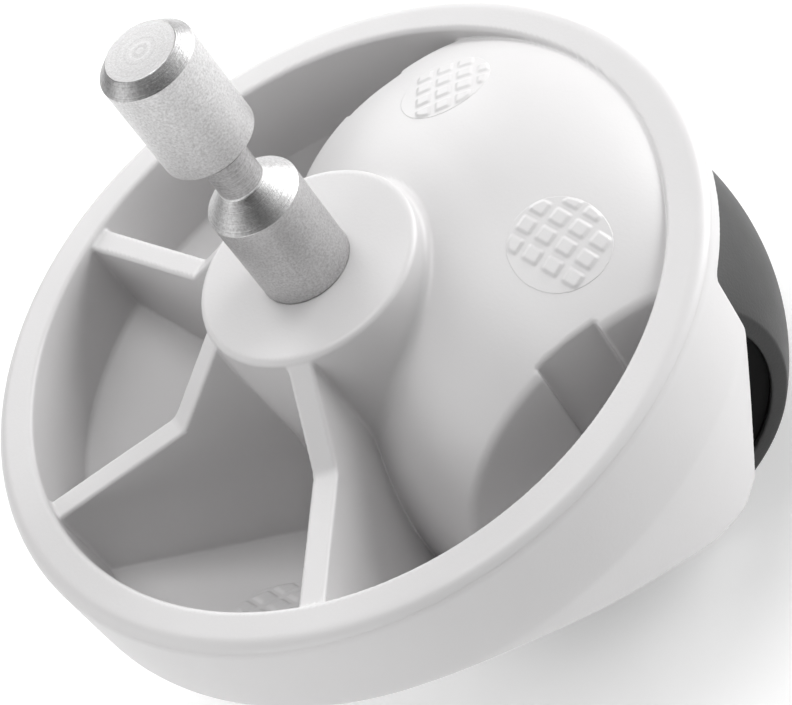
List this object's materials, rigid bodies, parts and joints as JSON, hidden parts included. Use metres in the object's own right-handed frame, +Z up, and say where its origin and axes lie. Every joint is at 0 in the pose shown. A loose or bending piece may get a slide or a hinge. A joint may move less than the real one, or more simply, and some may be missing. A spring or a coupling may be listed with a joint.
{
  "type": "hooded chair caster",
  "caption": "Swivelling furniture caster: a round bowl-shaped hood with an open ribbed top turns on a grooved plug-in stem and covers a single crowned wheel.",
  "frame": {"origin": "on the stem's axis at the top face of the boss, where the chair leg bears", "axes": "+Z up along the stem, +X towards the wheel's trailing side at rest, Y along the axle"},
  "size_m": [0.0815, 0.0812, 0.0852],
  "materials": {
    "stem_steel": "matte turned surface with bright chamfers",
    "spring_steel": "satin",
    "hood_plastic": "satin light grey moulding",
    "axle_steel": "satin",
    "wheel_plastic": "black moulding",
    "tread_rubber": "charcoal, fine satin grain",
    "bush_plastic": "natural acetal"
  },
  "bodies": {
    "stem": {"stem": "stem_steel", "stem_clip": "spring_steel"},
    "hood": {"hood": "hood_plastic", "thrust_disc": "spring_steel", "axle": "axle_steel", "axle_washer_left": "axle_steel", "axle_washer_right": "axle_steel"},
    "wheel": {"wheel_core": "wheel_plastic", "tyre": "tread_rubber", "hub_bush_left": "bush_plastic", "hub_bush_right": "bush_plastic"}
  },
  "joints": [
    {"name": "swivel", "type": "hinge", "parent": "stem", "child": "hood", "pos_m": [0, 0, 0], "axis": [0, 0, 1], "continuous": true},
    {"name": "wheel_roll", "type": "hinge", "parent": "hood", "child": "wheel", "pos_m": [0.0174, 0, -0.0283], "axis": [0, 1, 0], "continuous": true}
  ]
}
